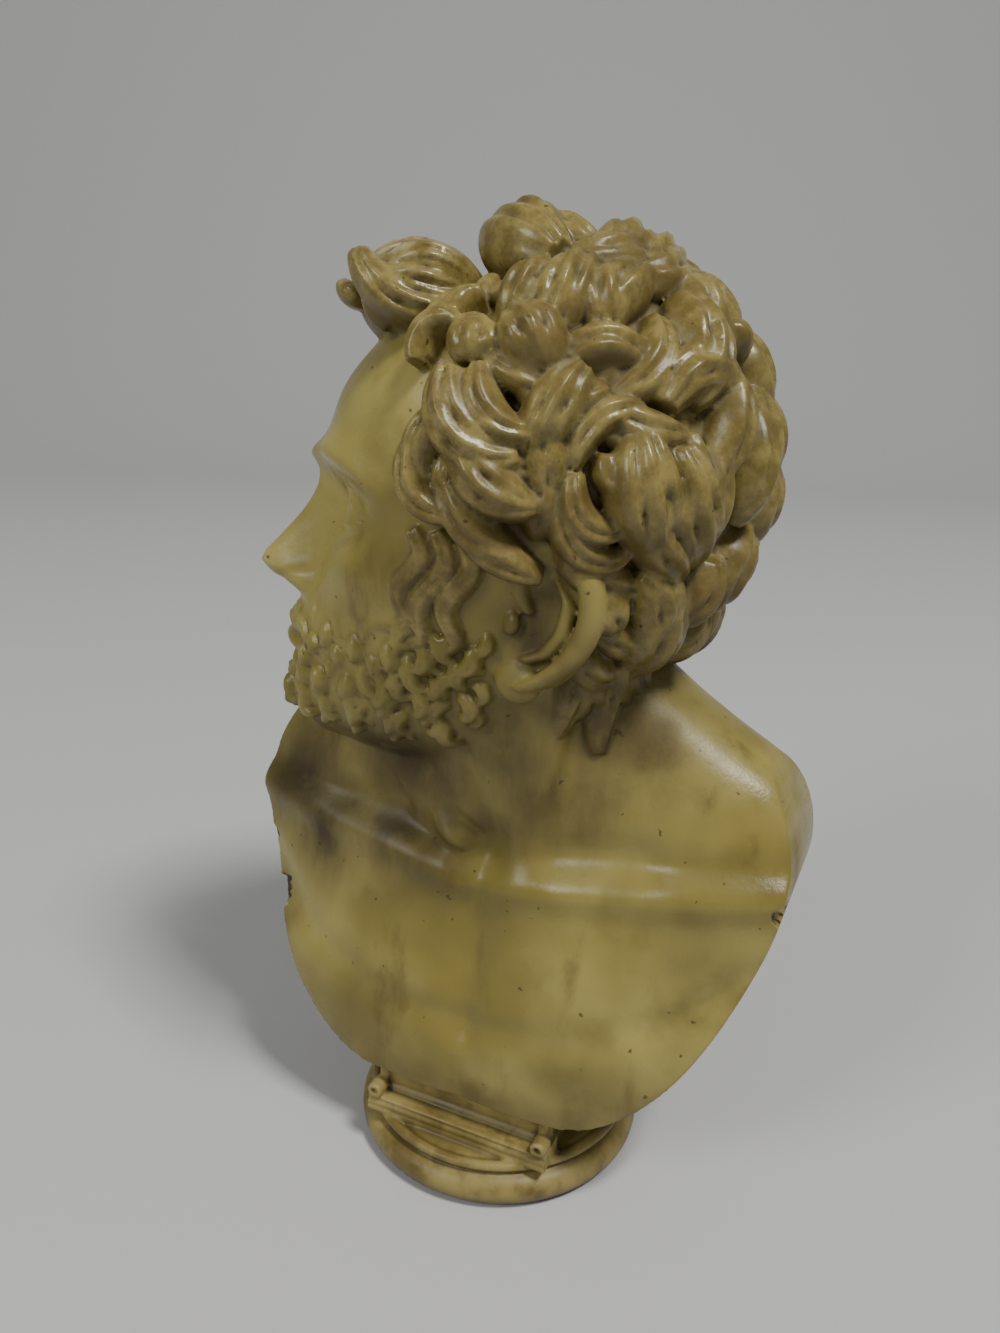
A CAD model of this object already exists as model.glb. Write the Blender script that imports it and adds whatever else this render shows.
import math

import bmesh
import bpy
import numpy as np
from mathutils import Matrix, Vector
from mathutils.kdtree import KDTree


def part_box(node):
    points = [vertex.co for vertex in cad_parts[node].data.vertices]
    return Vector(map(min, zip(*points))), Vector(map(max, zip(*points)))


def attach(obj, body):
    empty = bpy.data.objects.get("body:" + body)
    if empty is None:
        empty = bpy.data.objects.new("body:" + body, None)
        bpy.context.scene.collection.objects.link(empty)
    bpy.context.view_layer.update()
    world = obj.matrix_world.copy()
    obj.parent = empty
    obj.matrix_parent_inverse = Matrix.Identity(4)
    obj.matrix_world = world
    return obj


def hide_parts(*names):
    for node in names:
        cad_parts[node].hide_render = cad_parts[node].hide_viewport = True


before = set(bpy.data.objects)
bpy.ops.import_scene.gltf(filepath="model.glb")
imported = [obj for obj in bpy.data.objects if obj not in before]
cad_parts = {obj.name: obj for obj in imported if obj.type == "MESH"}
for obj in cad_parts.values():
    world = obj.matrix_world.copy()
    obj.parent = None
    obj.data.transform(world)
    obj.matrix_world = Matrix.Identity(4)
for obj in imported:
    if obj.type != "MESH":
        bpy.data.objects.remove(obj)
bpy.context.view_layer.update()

# The figure is drawn as a life-size sitter in millimetres, upwards from the bust's seat on the
# tablet, and then scaled to the cast.
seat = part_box("bust")[0][2]
mm = 0.549 / 401.0  # the cast's height over the sitter's
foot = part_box("socle")
footRadius = (foot[1][0] - foot[0][0]) / 2

chestShape = {
    "axis": 28.0,  # the lofted torso's middle, behind the breastbone
    "levels": (  # level, half width, depth to the front and to the back, squareness
        (-14, 145, 79, 3, 2.6),
        (8, 146, 80, 6, 2.6),
        (30, 150, 80, 11, 2.6),
        (46, 156, 75, 16, 2.6),
        (60, 160, 67, 21, 2.5),
        (76, 163, 62, 28, 2.4),
        (96, 166, 59, 37, 2.3),
        (116, 166, 57, 46, 2.2),
        (134, 160, 55, 52, 2.1),
        (150, 150, 50, 55, 2.0),
        (163, 132, 45, 55, 2.0),
        (176, 106, 42, 52, 2.0),
        (192, 80, 42, 48, 2.0),
        (206, 62, 42, 44, 2.0),
    ),
    "shieldHalfWidth": 134.5,
    "shieldLevel": 122.0,
    "shieldFootShare": 0.395,
    "shieldRound": 95.0,
    "archLevel": 112.0,
    "wall": 0.021 / mm,
    "ribHalfWidth": 0.030 / mm,
}

headShape = {
    "origin": (-5.7, 20.0, 260.0),
    "turn": -66.0,
    "tilt": -12.0,
    "levels": (  # level, half width, depth to the face and to the nape, squareness
        (-117, 10, 74, -40, 2.0),
        (-113, 24, 84, -20, 2.0),
        (-104, 38, 86, 0, 2.0),
        (-92, 47, 88, 16, 2.1),
        (-76, 54, 89, 30, 2.2),
        (-58, 60, 91, 44, 2.2),
        (-40, 65, 90, 58, 2.2),
        (-22, 68, 87, 68, 2.2),
        (-4, 70, 88, 74, 2.2),
        (14, 71, 95, 80, 2.2),
        (32, 72, 94, 84, 2.2),
        (52, 71, 89, 84, 2.2),
        (72, 66, 79, 80, 2.2),
        (92, 54, 62, 66, 2.2),
        (106, 34, 38, 44, 2.2),
    ),
}

neckShape = {
    "levels": (  # level, half width, depth to the front and to the back, middle across and along
        (84, 74, 50, 50, 0, 29),
        (112, 64, 53, 50, 0, 28),
        (135, 57, 54, 50, -1, 26),
        (160, 54, 54, 50, -3, 24),
        (190, 55, 55, 52, -6, 21),
        (216, 56, 56, 54, -8, 20),
    ),
    "muscle": ((44, 22, -40), (12, 14, 13, 6)),  # where it leaves the skull, and its thickness
    "voxel": 2.2,
    "softenSteps": 22,
}

hairShape = {
    "centre": np.array((0.0, 4.0, 34.0)),
    "radii": np.array((72.0, 82.0, 81.0)),
    "lowRadius": 108.0,  # the mass hangs lower than it rises
    "fill": 6.0,  # it stands this much fuller behind the temples
    "lift": 2.5,  # the locks stand this much off it
    "lockWidth": 1.30,  # and are this much wider than the rows below say
    "locks": (  # azimuth, elevation, heading, length, turn, width, height, stand-off
        (66, 60, 292, 44, -50, 24, 17, 9),
        (52, 67, 285, 28, -40, 18, 14, 13),
        (80, 72, 290, 34, -60, 20, 14, 7),
        (98, 73, 20, 30, 70, 22, 15, 8),
        (126, 71, 50, 34, 70, 22, 15, 8),
        (40, 52, 160, 22, 10, 8, 6, 3),
        (60, 50, 240, 18, 0, 8, 6, 3),
        (47, 41, 185, 16, 0, 8, 6, 11),
        (50, 42, 224, 32, -80, 9, 8, 9),
        (60, 34, 200, 16, -40, 20, 8, 10),
        (45, 19, 330, 28, 160, 7, 6, 13),
        (62, 27, 116, 30, -40, 10, 9, 8),
        (65, 36, 112, 24, 40, 21, 16, 10),
        (66, 57, 192, 30, -10, 18, 15, 5),
        (79, 62, 190, 38, -15, 19, 17, 6),
        (91, 60, 184, 28, -15, 19, 16, 5),
        (112, 64, 222, 36, -15, 17, 16, 5),
        (128, 58, 165, 44, 50, 22, 17, 5),
        (146, 50, 120, 16, 60, 12, 12, 8),
        (112, 50, 172, 42, 85, 14, 12, 3),
        (96, 40, 180, 20, 0, 22, 8, 1),
        (83, 29, 35, 36, 110, 15, 13, 4),
        (57, 20, 166, 43, -108, 18, 14, 12),
        (64, 23, 167, 35, -115, 12, 13, 10),
        (72, 26, 150, 22, -90, 8, 9, 5),
        (89, 29, 205, 34, -15, 18, 15, 7),
        (84, 15, 172, 27, -10, 15, 12, 4),
        (96, 26, 235, 26, -35, 11, 12, 5),
        (97, 22, 112, 34, -45, 13, 12, 4),
        (98, 17, 105, 30, -45, 12, 11, 3),
        (113, 25, 20, 46, 170, 18, 15, 5),
        (113, 32, 55, 28, 60, 13, 12, 5),
        (140, 38, 185, 42, 15, 16, 14, 6),
        (151, 28, 182, 42, 10, 18, 15, 6),
        (122, 20, 168, 30, -10, 14, 12, 3),
        (131, 18, 172, 40, 5, 15, 13, 4),
        (92, 6, 0, 38, 115, 11, 12, 5),
        (99, 11, 175, 24, -190, 9, 9, 6),
        (93, 5, 178, 36, -150, 11, 12, 6),
        (92, -1, 172, 42, -140, 12, 12, 5),
        (95, -8, 160, 36, -120, 11, 10, 4),
        (87, 4, 186, 26, -25, 14, 11, 3),
        (107, 17, 168, 44, -25, 24, 19, 6),
        (118, 16, 156, 46, -10, 23, 18, 5),
        (109, 3, 138, 42, -15, 20, 17, 4),
        (66, 7, 150, 36, -75, 18, 15, 10),
        (68, 10, 125, 30, -30, 9, 8, 6),
        (64, -4, 145, 38, -55, 14, 12, 9),
        (69, -11, 118, 34, -15, 12, 11, 9),
        (59, 11, 215, 28, -90, 12, 10, 11),
        (55, 5, 195, 42, -150, 11, 10, 12),
        (63, 2, 190, 18, -40, 8, 8, 8),
        (101, -13, 118, 30, -40, 12, 10, 3),
        (104, -21, 100, 19, 70, 20, 16, 5),
        (117, -12, 120, 40, 110, 20, 15, 5),
        (110, -33, 150, 30, -90, 16, 13, 4),
        (112, -28, 100, 26, 30, 14, 12, 4),
        (128, -16, 165, 42, 20, 21, 15, 7),
        (140, -8, 175, 32, 40, 19, 15, 6),
        (152, -20, 185, 30, 40, 18, 14, 5),
        (130, -36, 168, 40, -150, 18, 14, 6),
        (118, -42, 140, 34, 120, 17, 14, 7),
    ),
    "leftOnly": 9,  # the tuft and the parting stay on the sitter's left
    "quiff": (  # across, slant, radius, from and to (0 forward, 90 up), width, height
        (20, 12, 16, 165, -60, 17, 8),
        (16, -14, 18, 120, -75, 20, 9),
        (2, 10, 18, 150, -40, 19, 9),
        (-12, 6, 17, 130, -80, 20, 9),
        (-20, -12, 16, 160, -50, 18, 8),
    ),
    "quiffSide": (  # start across, along and up, aim along and up, length, bend, width, height
        (24, -44, 98, -1.0, 0.55, 50, -2.1, 16, 12),
        (29, -40, 92, -1.0, -0.55, 60, 1.5, 20, 14),
        (26, -46, 95, -1.0, 0.05, 42, -0.5, 19, 13),
        (24, -54, 76, -1.0, -0.10, 34, 1.0, 12, 9),
        (12, -86, 82, -1.0, -0.10, 16, 1.0, 10, 7),
    ),
    "quiffMiddle": (-67.0, 85.0),
    "quiffCore": ((0, -67, 86), (31, 27, 22)),
    "rightShift": (-4.0, 3.0),
    "backRows": ((64, 4), (46, 4), (28, 5), (10, 5), (-8, 5), (-24, 5)),
    "backAzimuths": (162, 214),
    "backLock": (40.0, 20.0, 14.0),
    "crownAzimuths": (55, 115, 165, 215, 270, 320),
    "crownLock": (38.0, 20.0, 14.0),
    "napeCount": 9,
    "napeAzimuths": (116, 244),
    "napeElevation": -38.0,
    "napeLock": (44.0, 18.0, 13.0),
    "standOff": 6.0,
}

bustMesh = {"voxel": 0.0012, "softenSteps": 1, "triangles": 195000}


def turned(axis, degrees):
    return np.array(Matrix.Rotation(math.radians(degrees), 3, axis))


headPose = turned("Z", headShape["turn"]) @ turned("X", headShape["tilt"])


def toFigure(points):  # head millimetres to figure millimetres
    return np.asarray(points, float) @ headPose.T + np.array(headShape["origin"])


def levelTable(levels, count):  # rows of a table filled in between and smoothed
    table = np.array(levels, float)
    heights = np.linspace(table[0, 0], table[-1, 0], count)
    columns = [np.interp(heights, table[:, 0], table[:, i]) for i in range(1, table.shape[1])]
    sampled = np.stack([heights] + columns, axis=1)
    passes = 3 * (count // 40) ** 2
    for _ in range(passes):
        sampled[1:-1] = (sampled[:-2] + 2 * sampled[1:-1] + sampled[2:]) / 4
    return sampled


def section(row, centreY, sides):  # a superellipse with its own front and back depth
    height, halfWidth, front, back, squareness = row
    angles = np.linspace(0, 2 * math.pi, sides, endpoint=False)
    across, along = np.cos(angles), np.sin(angles)
    power = 2 / squareness
    x = halfWidth * np.sign(across) * np.abs(across) ** power
    depth = np.abs(along) ** power
    y = np.where(along < 0, centreY - front * depth, centreY + back * depth)
    return np.stack([x, y, np.full(sides, height)], axis=1)


def loft(name, rings):  # a closed mesh through rings of equal length, a fan at each end
    rings = np.asarray(rings, float)
    rows, sides, _ = rings.shape
    ends = np.stack([rings[0].mean(axis=0), rings[-1].mean(axis=0)])
    points = np.concatenate([rings.reshape(-1, 3), ends])
    i = np.arange(sides)
    j = (i + 1) % sides
    faces = []
    for k in range(rows - 1):
        a, b = k * sides, (k + 1) * sides
        faces += np.stack([a + i, a + j, b + j, b + i], axis=1).tolist()
    low, high, top = rows * sides, rows * sides + 1, (rows - 1) * sides
    faces += [(int(q), int(p), low) for p, q in zip(i, j)]
    faces += [(int(top + p), int(top + q), high) for p, q in zip(i, j)]
    mesh = bpy.data.meshes.new(name)
    mesh.from_pydata(points.tolist(), [], faces)
    faceOut(mesh)
    return mesh


def opened(mesh):
    work = bmesh.new()
    work.from_mesh(mesh)
    return work


def closed(work, mesh):
    work.to_mesh(mesh)
    work.free()
    mesh.update()
    return mesh


def faceOut(mesh):
    work = opened(mesh)
    bmesh.ops.recalc_face_normals(work, faces=work.faces)
    closed(work, mesh)


def unit(vectors):
    return vectors / (np.linalg.norm(vectors, axis=-1, keepdims=True) + 1e-9)


def softStep(values, low, high):
    share = np.clip((values - low) / (high - low), 0, 1)
    return share * share * (3 - 2 * share)


def meshPoints(mesh, field="co"):
    flat = np.empty(len(mesh.vertices) * 3, np.float32)
    source = mesh.vertices if field == "co" else mesh.vertex_normals
    source.foreach_get(field, flat)
    return flat.reshape(-1, 3).astype(float)


def movePoints(mesh, points):
    mesh.vertices.foreach_set("co", points.astype(np.float32).ravel())
    mesh.update()


def pathDistance(points, path):
    path = np.asarray(path, float)
    best = np.full(len(points), 1e9)
    for start, end in zip(path, path[1:]):
        run = end - start
        share = np.clip((points - start) @ run / (run @ run), 0, 1)
        gap = np.linalg.norm(points - start - share[:, None] * run, axis=1)
        best = np.minimum(best, gap)
    return best


def smoothPath(points, steps, passes=4):
    points = np.asarray(points, float)
    share = np.linspace(0, 1, steps)
    knots = np.linspace(0, 1, len(points))
    path = np.stack([np.interp(share, knots, points[:, i]) for i in range(3)], axis=1)
    for _ in range(passes * max(1, steps // 14) ** 2):
        path[1:-1] = (path[:-2] + 2 * path[1:-1] + path[2:]) / 4
    return path


def ridge(points, normals, path, reach, height):
    gap = pathDistance(points, path)
    return points + normals * (height * np.exp(-(gap / reach) ** 2))[:, None]


def swell(points, normals, centre, reach, height):
    gap = np.linalg.norm((points - np.array(centre)) / np.array(reach), axis=1)
    return points + normals * (height * np.exp(-gap ** 2))[:, None]


def addObject(name, mesh, hidden=False):
    thing = bpy.data.objects.new(name, mesh)
    bpy.context.scene.collection.objects.link(thing)
    thing.hide_render = hidden
    return thing


def applyModifiers(thing):
    bpy.context.view_layer.update()
    evaluated = thing.evaluated_get(bpy.context.evaluated_depsgraph_get())
    mesh = bpy.data.meshes.new_from_object(evaluated)
    thing.modifiers.clear()
    thing.data = mesh


def cut(thing, cutter, operation):
    step = thing.modifiers.new(operation.title(), "BOOLEAN")
    step.operation = operation
    step.solver = "EXACT"
    step.object = cutter
    applyModifiers(thing)


# Torso: chest, neck and skull melted together, then carved, cut to the shield and hollowed
def chestSkin(points):
    normals = unit((points - np.array((0, chestShape["axis"], 0))) * np.array((0.12, 1, 0)))
    for side in (-1, 1):
        collar = smoothPath([(side * 8, -29, 106), (side * 42, -28, 112.5), (side * 64, -26, 115.5),
                             (side * 95, -21, 118), (side * 136, -8, 121.5)], 24)
        above = ((side * 36, -28, 123), (side * 70, -24, 128))
        outer = ((side * 80, -22, 129), (side * 136, -6, 132.5))
        edge = smoothPath([(side * 4, -50, 38), (side * 50, -46, 44), (side * 92, -34, 58),
                           (side * 126, -17, 84)], 24)
        points = ridge(points, normals, collar, 10.0, 5.5)
        points = ridge(points, normals, above, 13.0, -6.0)
        points = ridge(points, normals, outer, 7.0, -2.0)
        points = swell(points, normals, (side * 62, -44, 72), (52, 60, 32), 7.0)
        points = ridge(points, normals, edge, 8.0, -2.5)
    points = ridge(points, normals, ((0, -34, 98), (0, -40, 62), (0, -52, 36)), 9.0, -3.5)
    points = ridge(points, normals, ((0, -52, 30), (0, -52, 0)), 9.0, -1.2)
    return swell(points, normals, (0, -26, 116), (11, 30, 11), -9.0)


def throatSkin(points):  # windpipe, the cords beside it and the long muscle's edge
    normals = unit((points - np.array((-3, 26, 0))) * np.array((1, 1, 0)))
    for path, reach, height in throatShape:
        points = ridge(points, normals, smoothPath(path, 20), reach, height)
    return points


throatShape = (  # path, reach, rise
    (((-10, -27, 122), (-34, -30, 134), (-48, -26, 158), (-56, -12, 186)), 5.0, 4.5),
    (((-4, -27, 126), (-26, -31, 142), (-36, -28, 164)), 3.5, -3.5),
    (((-14, -28, 114), (-44, -26, 124), (-60, -14, 150)), 5.0, -3.0),
    (((6, -27, 128), (-2, -31, 148), (-10, -32, 172)), 5.0, -2.5),
)


def shieldHalfWidths(heights, inset):  # the chest's rim, seen from its front
    level = chestShape["shieldLevel"]
    drop = np.clip((level - heights) / level, 0, 1)
    foot = chestShape["shieldFootShare"]
    share = foot + (1 - foot) * (1 - drop ** 1.5) ** 0.6
    rise = np.clip((heights - level) / chestShape["shieldRound"], 0, 0.95)
    return chestShape["shieldHalfWidth"] * share * (1 - rise ** 2) ** 0.5 - inset


def shieldPrism(name, bottom, top, front, back, inset):
    level = chestShape["shieldLevel"]
    heights = np.concatenate([[bottom], np.linspace(0, level, 60) + inset,
                              np.linspace(level, level + chestShape["shieldRound"], 40)[1:] + inset, [top]])
    widths = shieldHalfWidths(heights - inset, inset)
    widths[-1] = max(widths[-1], 130 - inset)
    rings = [[(-w, front, z), (w, front, z), (w, back, z), (-w, back, z)] for z, w in zip(heights, widths)]
    return addObject(name, loft(name, rings), hidden=True)


def makeTorso():
    rows = levelTable(chestShape["levels"], 120)
    meshes = [loft("chest", [section(row, chestShape["axis"], 180) for row in rows])]
    rings = []
    for height, halfWidth, front, back, middleX, middleY in levelTable(neckShape["levels"], 60):
        ring = section((height, halfWidth, front, back, 2.0), middleY, 96)
        rings.append(ring + np.array((middleX, 0, 0)))
    meshes.append(loft("neck", rings))
    skull = levelTable(headShape["levels"], 120)
    meshes.append(loft("skull", [toFigure(faceSkin(section(row, 0, 180))) for row in skull]))
    (across, along, up), thickness = neckShape["muscle"]
    for side in (-1, 1):
        behindEar = toFigure((side * across, along, up))
        pit = np.array((side * 9, -13, 100))
        middle = (behindEar + pit) / 2 + np.array((side * 3, -2, 0))
        meshes.append(rod([behindEar, middle, pit], thickness, sides=40))
    torso = joinMeshes("torso", meshes)
    remesh(torso, neckShape["voxel"], neckShape["softenSteps"])
    movePoints(torso.data, throatSkin(chestSkin(meshPoints(torso.data))))
    cutters = [shieldPrism("chestCut", -20, 420, -200, 200, 0)]
    cut(torso, cutters[0], "INTERSECT")
    wall = chestShape["wall"]
    hollowRows = levelTable(chestShape["levels"], 160)
    hollowRows = hollowRows[hollowRows[:, 0] < chestShape["archLevel"]].copy()
    hollowRows[:, 1:3] -= wall
    hollowRows[:, 3] = 200
    hollowRings = [section(row, chestShape["axis"], 120) for row in hollowRows]
    hollow = addObject("hollow", loft("hollow", hollowRings), True)
    cutters.append(shieldPrism("hollowCut", wall - 1, 240, -300, 400, wall))
    cut(hollow, cutters[-1], "INTERSECT")
    ribRings = []
    for height, flare in ((-40, 1.0), (60, 1.0), (90, 1.25), (140, 2.2)):
        x = chestShape["ribHalfWidth"] * flare
        ribRings.append([(-x, -300, height), (x, -300, height), (x, 74, height), (-x, 74, height)])
    cutters.append(addObject("rib", loft("rib", ribRings), True))
    cut(hollow, cutters[-1], "DIFFERENCE")
    cut(torso, hollow, "DIFFERENCE")
    mesh = torso.data
    for thing in cutters + [hollow, torso]:
        bpy.data.objects.remove(thing)
    return mesh


# A domed section carried along a path, with strands cut along it: for locks, curls and rods
def sweep(path, normals, widths, heights, sink, strands=0, groove=0.3, twist=0.0, sides=30):
    across = unit(np.cross(unit(np.gradient(path, axis=0)), normals))
    angles = np.linspace(0, 2 * math.pi, sides, endpoint=False)
    top = np.sin(angles) > 0
    rings = []
    for i in range(len(path)):
        share = i / (len(path) - 1)
        place = (1 - np.cos(angles)) / 2 + twist * (share - 0.5)
        comb = 1 - groove * (1 - np.abs(np.sin(math.pi * strands * place)) ** 0.6) if strands else 1
        rise = np.where(top, heights[i] * comb, sink) * np.sin(angles)
        spread = widths[i] / 2 * np.cos(angles)
        rings.append(path[i] + spread[:, None] * across[i] + rise[:, None] * normals[i])
    return loft("sweep", rings)


def hairRadii(up):
    across, along, above = hairShape["radii"]
    return np.array((across, along, above if up > 0 else hairShape["lowRadius"]))


def hairPoint(azimuth, elevation):
    a, e = math.radians(azimuth), math.radians(elevation)
    direction = np.array((math.sin(a) * math.cos(e), -math.cos(a) * math.cos(e), math.sin(e)))
    radii = hairRadii(elevation)
    normal = direction / radii
    return hairShape["centre"] + direction * radii, normal / np.linalg.norm(normal)


def headSweep(path, normals, width, height, taper, sink, strands, groove, twist, sides=30):
    start, run, power = taper  # where the swelling begins, how much of it there is, how blunt it is
    full = np.sin(math.pi * np.clip(start + run * np.linspace(0, 1, len(path)), 0, 1)) ** power
    return sweep(toFigure(path), np.array(normals) @ headPose.T, width * full, height * full,
                 sink, strands, groove, twist, sides)


def lock(azimuth, elevation, heading, length, turn, width, height, standOff=0, steps=34):
    step = length / (steps - 1)
    path, normals = [], []
    for i in range(steps):
        point, normal = hairPoint(azimuth, elevation)
        share = i / (steps - 1)
        path.append(point + (standOff + hairShape["lift"]) * normal)
        normals.append(normal)
        east = unit(np.cross((0, 0, 1), normal))
        north = np.cross(normal, east)
        angle = math.radians(heading + turn * share ** 1.4)
        ahead = point + step * (math.sin(angle) * east + math.cos(angle) * north)
        local = ahead - hairShape["centre"]
        local = local / hairRadii(local[2])
        local /= np.linalg.norm(local)
        azimuth = math.degrees(math.atan2(local[0], -local[1]))
        elevation = math.degrees(math.asin(np.clip(local[2], -1, 1)))
    strands = max(2, round(width / 7))
    twist = 0.25 if turn > 0 else -0.25
    return headSweep(path, normals, width * hairShape["lockWidth"], height, (0.14, 0.80, 0.7),
                     6.0 + standOff, strands, 0.34, twist)


def quiffLock(across, slant, radius, start, end, width, height, steps=34):  # rolled over and under
    share = np.linspace(0, 1, steps)
    angles = np.radians(start + (end - start) * share)
    reach = radius * (1.1 - 0.35 * share)
    along, up = hairShape["quiffMiddle"]
    forward, rise = reach * np.cos(angles) * 1.2, reach * np.sin(angles)
    path = np.stack([across + slant * share, along - forward, up + rise], axis=1)
    normals = np.stack([np.zeros(steps), -np.cos(angles), np.sin(angles)], axis=1)
    return headSweep(path, normals, width, height, (0.2, 0.72, 0.6), 12.0, 3, 0.34, 0.3)


# A lock that lies on the quiff's cheek
def sideLock(start, aimAlong, aimUp, side, length, bend, width, height, steps=30):
    heading = math.atan2(aimUp, -aimAlong)
    path = [np.asarray(start, float)]
    for i in range(1, steps):
        angle = heading + bend * (i / (steps - 1)) ** 1.4
        path.append(path[-1] + np.array((0, -math.cos(angle), math.sin(angle))) * length / (steps - 1))
    path = np.array(path)
    path[:, 0] += side * 4 * np.sin(math.pi * np.linspace(0, 1, steps))
    normals = np.tile(np.array((side, 0, 0.25)) / 1.03, (steps, 1))
    return headSweep(path, normals, width, height, (0.08, 0.84, 0.6), 12.0, 3, 0.34, 0.25)


def straightLock(start, aim, normal, length, bend, width, height, strands=3, steps=20):
    aim = np.asarray(aim, float) / np.linalg.norm(aim)
    side = np.cross(aim, np.asarray(normal, float))
    normal = np.cross(side, aim)
    normal /= np.linalg.norm(normal)
    path, normals = [np.asarray(start, float)], [normal]
    for i in range(1, steps):
        angle = bend * i / (steps - 1)
        heading = math.cos(angle) * aim + math.sin(angle) * normal
        path.append(path[-1] + heading * length / (steps - 1))
        normals.append(math.cos(angle) * normal - math.sin(angle) * aim)
    return headSweep(path, normals, width, height, (0.25, 0.68, 0.7), 5.0, strands, 0.3, 0.15)


def rod(points, radii, sides=24, steps=40):
    path = smoothPath(points, steps, 1)
    thickness = np.interp(np.linspace(0, 1, steps), np.linspace(0, 1, len(radii)), radii)
    side = np.cross(path[-1] - path[0], (0.3, 0.9, 0.2))
    normals = np.tile(side / np.linalg.norm(side), (steps, 1))
    return sweep(path, normals, 2 * thickness, thickness, thickness.max(), sides=sides)


def sphereMesh(name, segments, rows, shape):  # a sphere with every point moved by shape
    work = bmesh.new()
    bmesh.ops.create_uvsphere(work, u_segments=segments, v_segments=rows, radius=1)
    for vert in work.verts:
        vert.co = shape(np.array(vert.co))
    bmesh.ops.recalc_face_normals(work, faces=work.faces)
    return closed(work, bpy.data.meshes.new(name))


def ball(centre, radii):
    radii, centre = np.array(radii), np.array(centre)
    return sphereMesh("ball", 64, 40, lambda point: toFigure(point * radii + centre))


def faceSkin(points):  # the skull under the face is held back, and the face itself laid over it
    normals = unit(points * np.array((1, 1, 0)))
    return swell(points, normals, (0, -90, -20), (52, 60, 62), -16.0)


faceShape = {
    "forms": (  # middle across and up, reach across and up, rise
        ((31, -2), (17, 12), -9.0),
        ((17, -3), (7, 9), -5.0),
        ((0, 14), (11, 10), 1.5),
        ((49, -24), (17, 12), 4.5),
        ((45, -56), (15, 16), -3.0),
        ((58, 20), (14, 20), -3.0),
        ((0, 44), (40, 18), 2.0),
        ((0, -64), (25, 15), 5.0),
        ((0, -97), (17, 11), 6.0),
        ((0, -80), (16, 4.5), -3.0),
        ((14, -42), (5.0, 5.5), 8.0),
        ((20, -41), (2.5, 7), -2.0),
        ((5.5, -48), (3.2, 2.6), -7.0),
        ((0, -54), (2.6, 6), -1.6),
    ),
    "browLevels": ((0, 13), (12, 15), (28, 18.5), (44, 17), (58, 9)),
    "browRise": 5.0,
    "nose": (  # level, half width, rise
        (-55, 11, 0.0),
        (-50, 11, 5.0),
        (-46, 11, 19.0),
        (-41, 10.5, 26.0),
        (-36, 10, 25.5),
        (-24, 9, 19.5),
        (-12, 8.2, 13.0),
        (0, 7.6, 7.0),
        (10, 9, 3.0),
        (20, 11, 0.0),
    ),
    "eyeMiddle": (31.0, 65.3, -3.0),
    "eyeRadius": 12.5,
    "lid": 2.0,
    "eyeHalfWidth": 13.5,
    "lidRise": 6.0,
    "lidDrop": 4.2,
    "mouthHalfWidth": 25.0,
    "mouthLevel": -66.5,
}


def faceRelief(x, z, front):  # how far forward each point of the face comes, from its plain front
    x = np.abs(x)
    for (middleX, middleZ), (reachX, reachZ), rise in faceShape["forms"]:
        front = front + rise * np.exp(-((x - middleX) / reachX) ** 2 - ((z - middleZ) / reachZ) ** 2)
    brow = np.array(faceShape["browLevels"])
    above = z - np.interp(x, brow[:, 0], brow[:, 1])
    reach = np.where(above > 0, 9.0, 4.5)
    front = front + faceShape["browRise"] * np.exp(-(above / reach) ** 2) * (1 - softStep(x, 46, 62))
    nose = np.array(faceShape["nose"])
    halfWidth = np.interp(z, nose[:, 0], nose[:, 1])
    front = front + np.interp(z, nose[:, 0], nose[:, 2]) * np.exp(-np.abs(x / halfWidth) ** 2.5)
    mouth = 1 - softStep(x, 0.55 * faceShape["mouthHalfWidth"], faceShape["mouthHalfWidth"])
    above = z - faceShape["mouthLevel"] + 0.004 * x ** 2
    bow = 1.2 * np.exp(-((x - 6) / 5) ** 2)
    front = front + mouth * 3.6 * np.exp(-((above - 4.0 - bow) / 3.0) ** 2)
    front = front + mouth * 4.6 * np.exp(-((above + 5.0) / 3.6) ** 2)
    front = front - (0.35 + 0.65 * mouth) * (x < 32) * 3.4 * np.exp(-(above / 1.2) ** 2)
    eyeX, eyeY, eyeZ = faceShape["eyeMiddle"]
    away = (x - eyeX) ** 2 + (z - eyeZ) ** 2
    lidRadius = faceShape["eyeRadius"] + faceShape["lid"]
    cover = eyeY + np.sqrt(np.clip(lidRadius ** 2 - away, 0, None)) - 5.0 * (away / lidRadius ** 2) ** 2
    lids = np.where(away < lidRadius ** 2, cover, 0)
    front = (front + lids + np.sqrt((front - lids) ** 2 + 9.0)) / 2 - 0.6
    share = 1 - np.clip(np.abs(x - eyeX) / faceShape["eyeHalfWidth"], 0, 1) ** 2
    upper, lower = eyeZ + faceShape["lidRise"] * share, eyeZ - 0.5 - faceShape["lidDrop"] * share
    crease = np.exp(-((z - upper - 4.2) / 1.1) ** 2) * (share > 0.05)
    opening = softStep(np.minimum(upper - z, z - lower), -0.4, 0.5) * (share > 0)
    eye = eyeY + np.sqrt(np.clip(faceShape["eyeRadius"] ** 2 - away, 0, None))
    return (front - 1.2 * crease) * (1 - opening) + eye * opening


def makeFace(rowCount=400, sides=720):
    rings = []
    for row in levelTable(headShape["levels"], rowCount):
        ring = section(row, 0, sides)
        front = faceRelief(ring[:, 0], ring[:, 2], -ring[:, 1])
        inFace = softStep(-ring[:, 1], 5, 45)
        ring[:, 1] = -front * inFace + ring[:, 1] * (1 - inFace)
        aside = softStep(-ring[:, 1], 15, 50)
        ring[:, :2] *= (1 - 0.035 * (1 - aside))[:, None]
        rings.append(toFigure(ring))
    return loft("face", rings)


earShape = {"middle": (70.0, 12.0, -19.0), "flare": 0.45, "size": 1.08}


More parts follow.
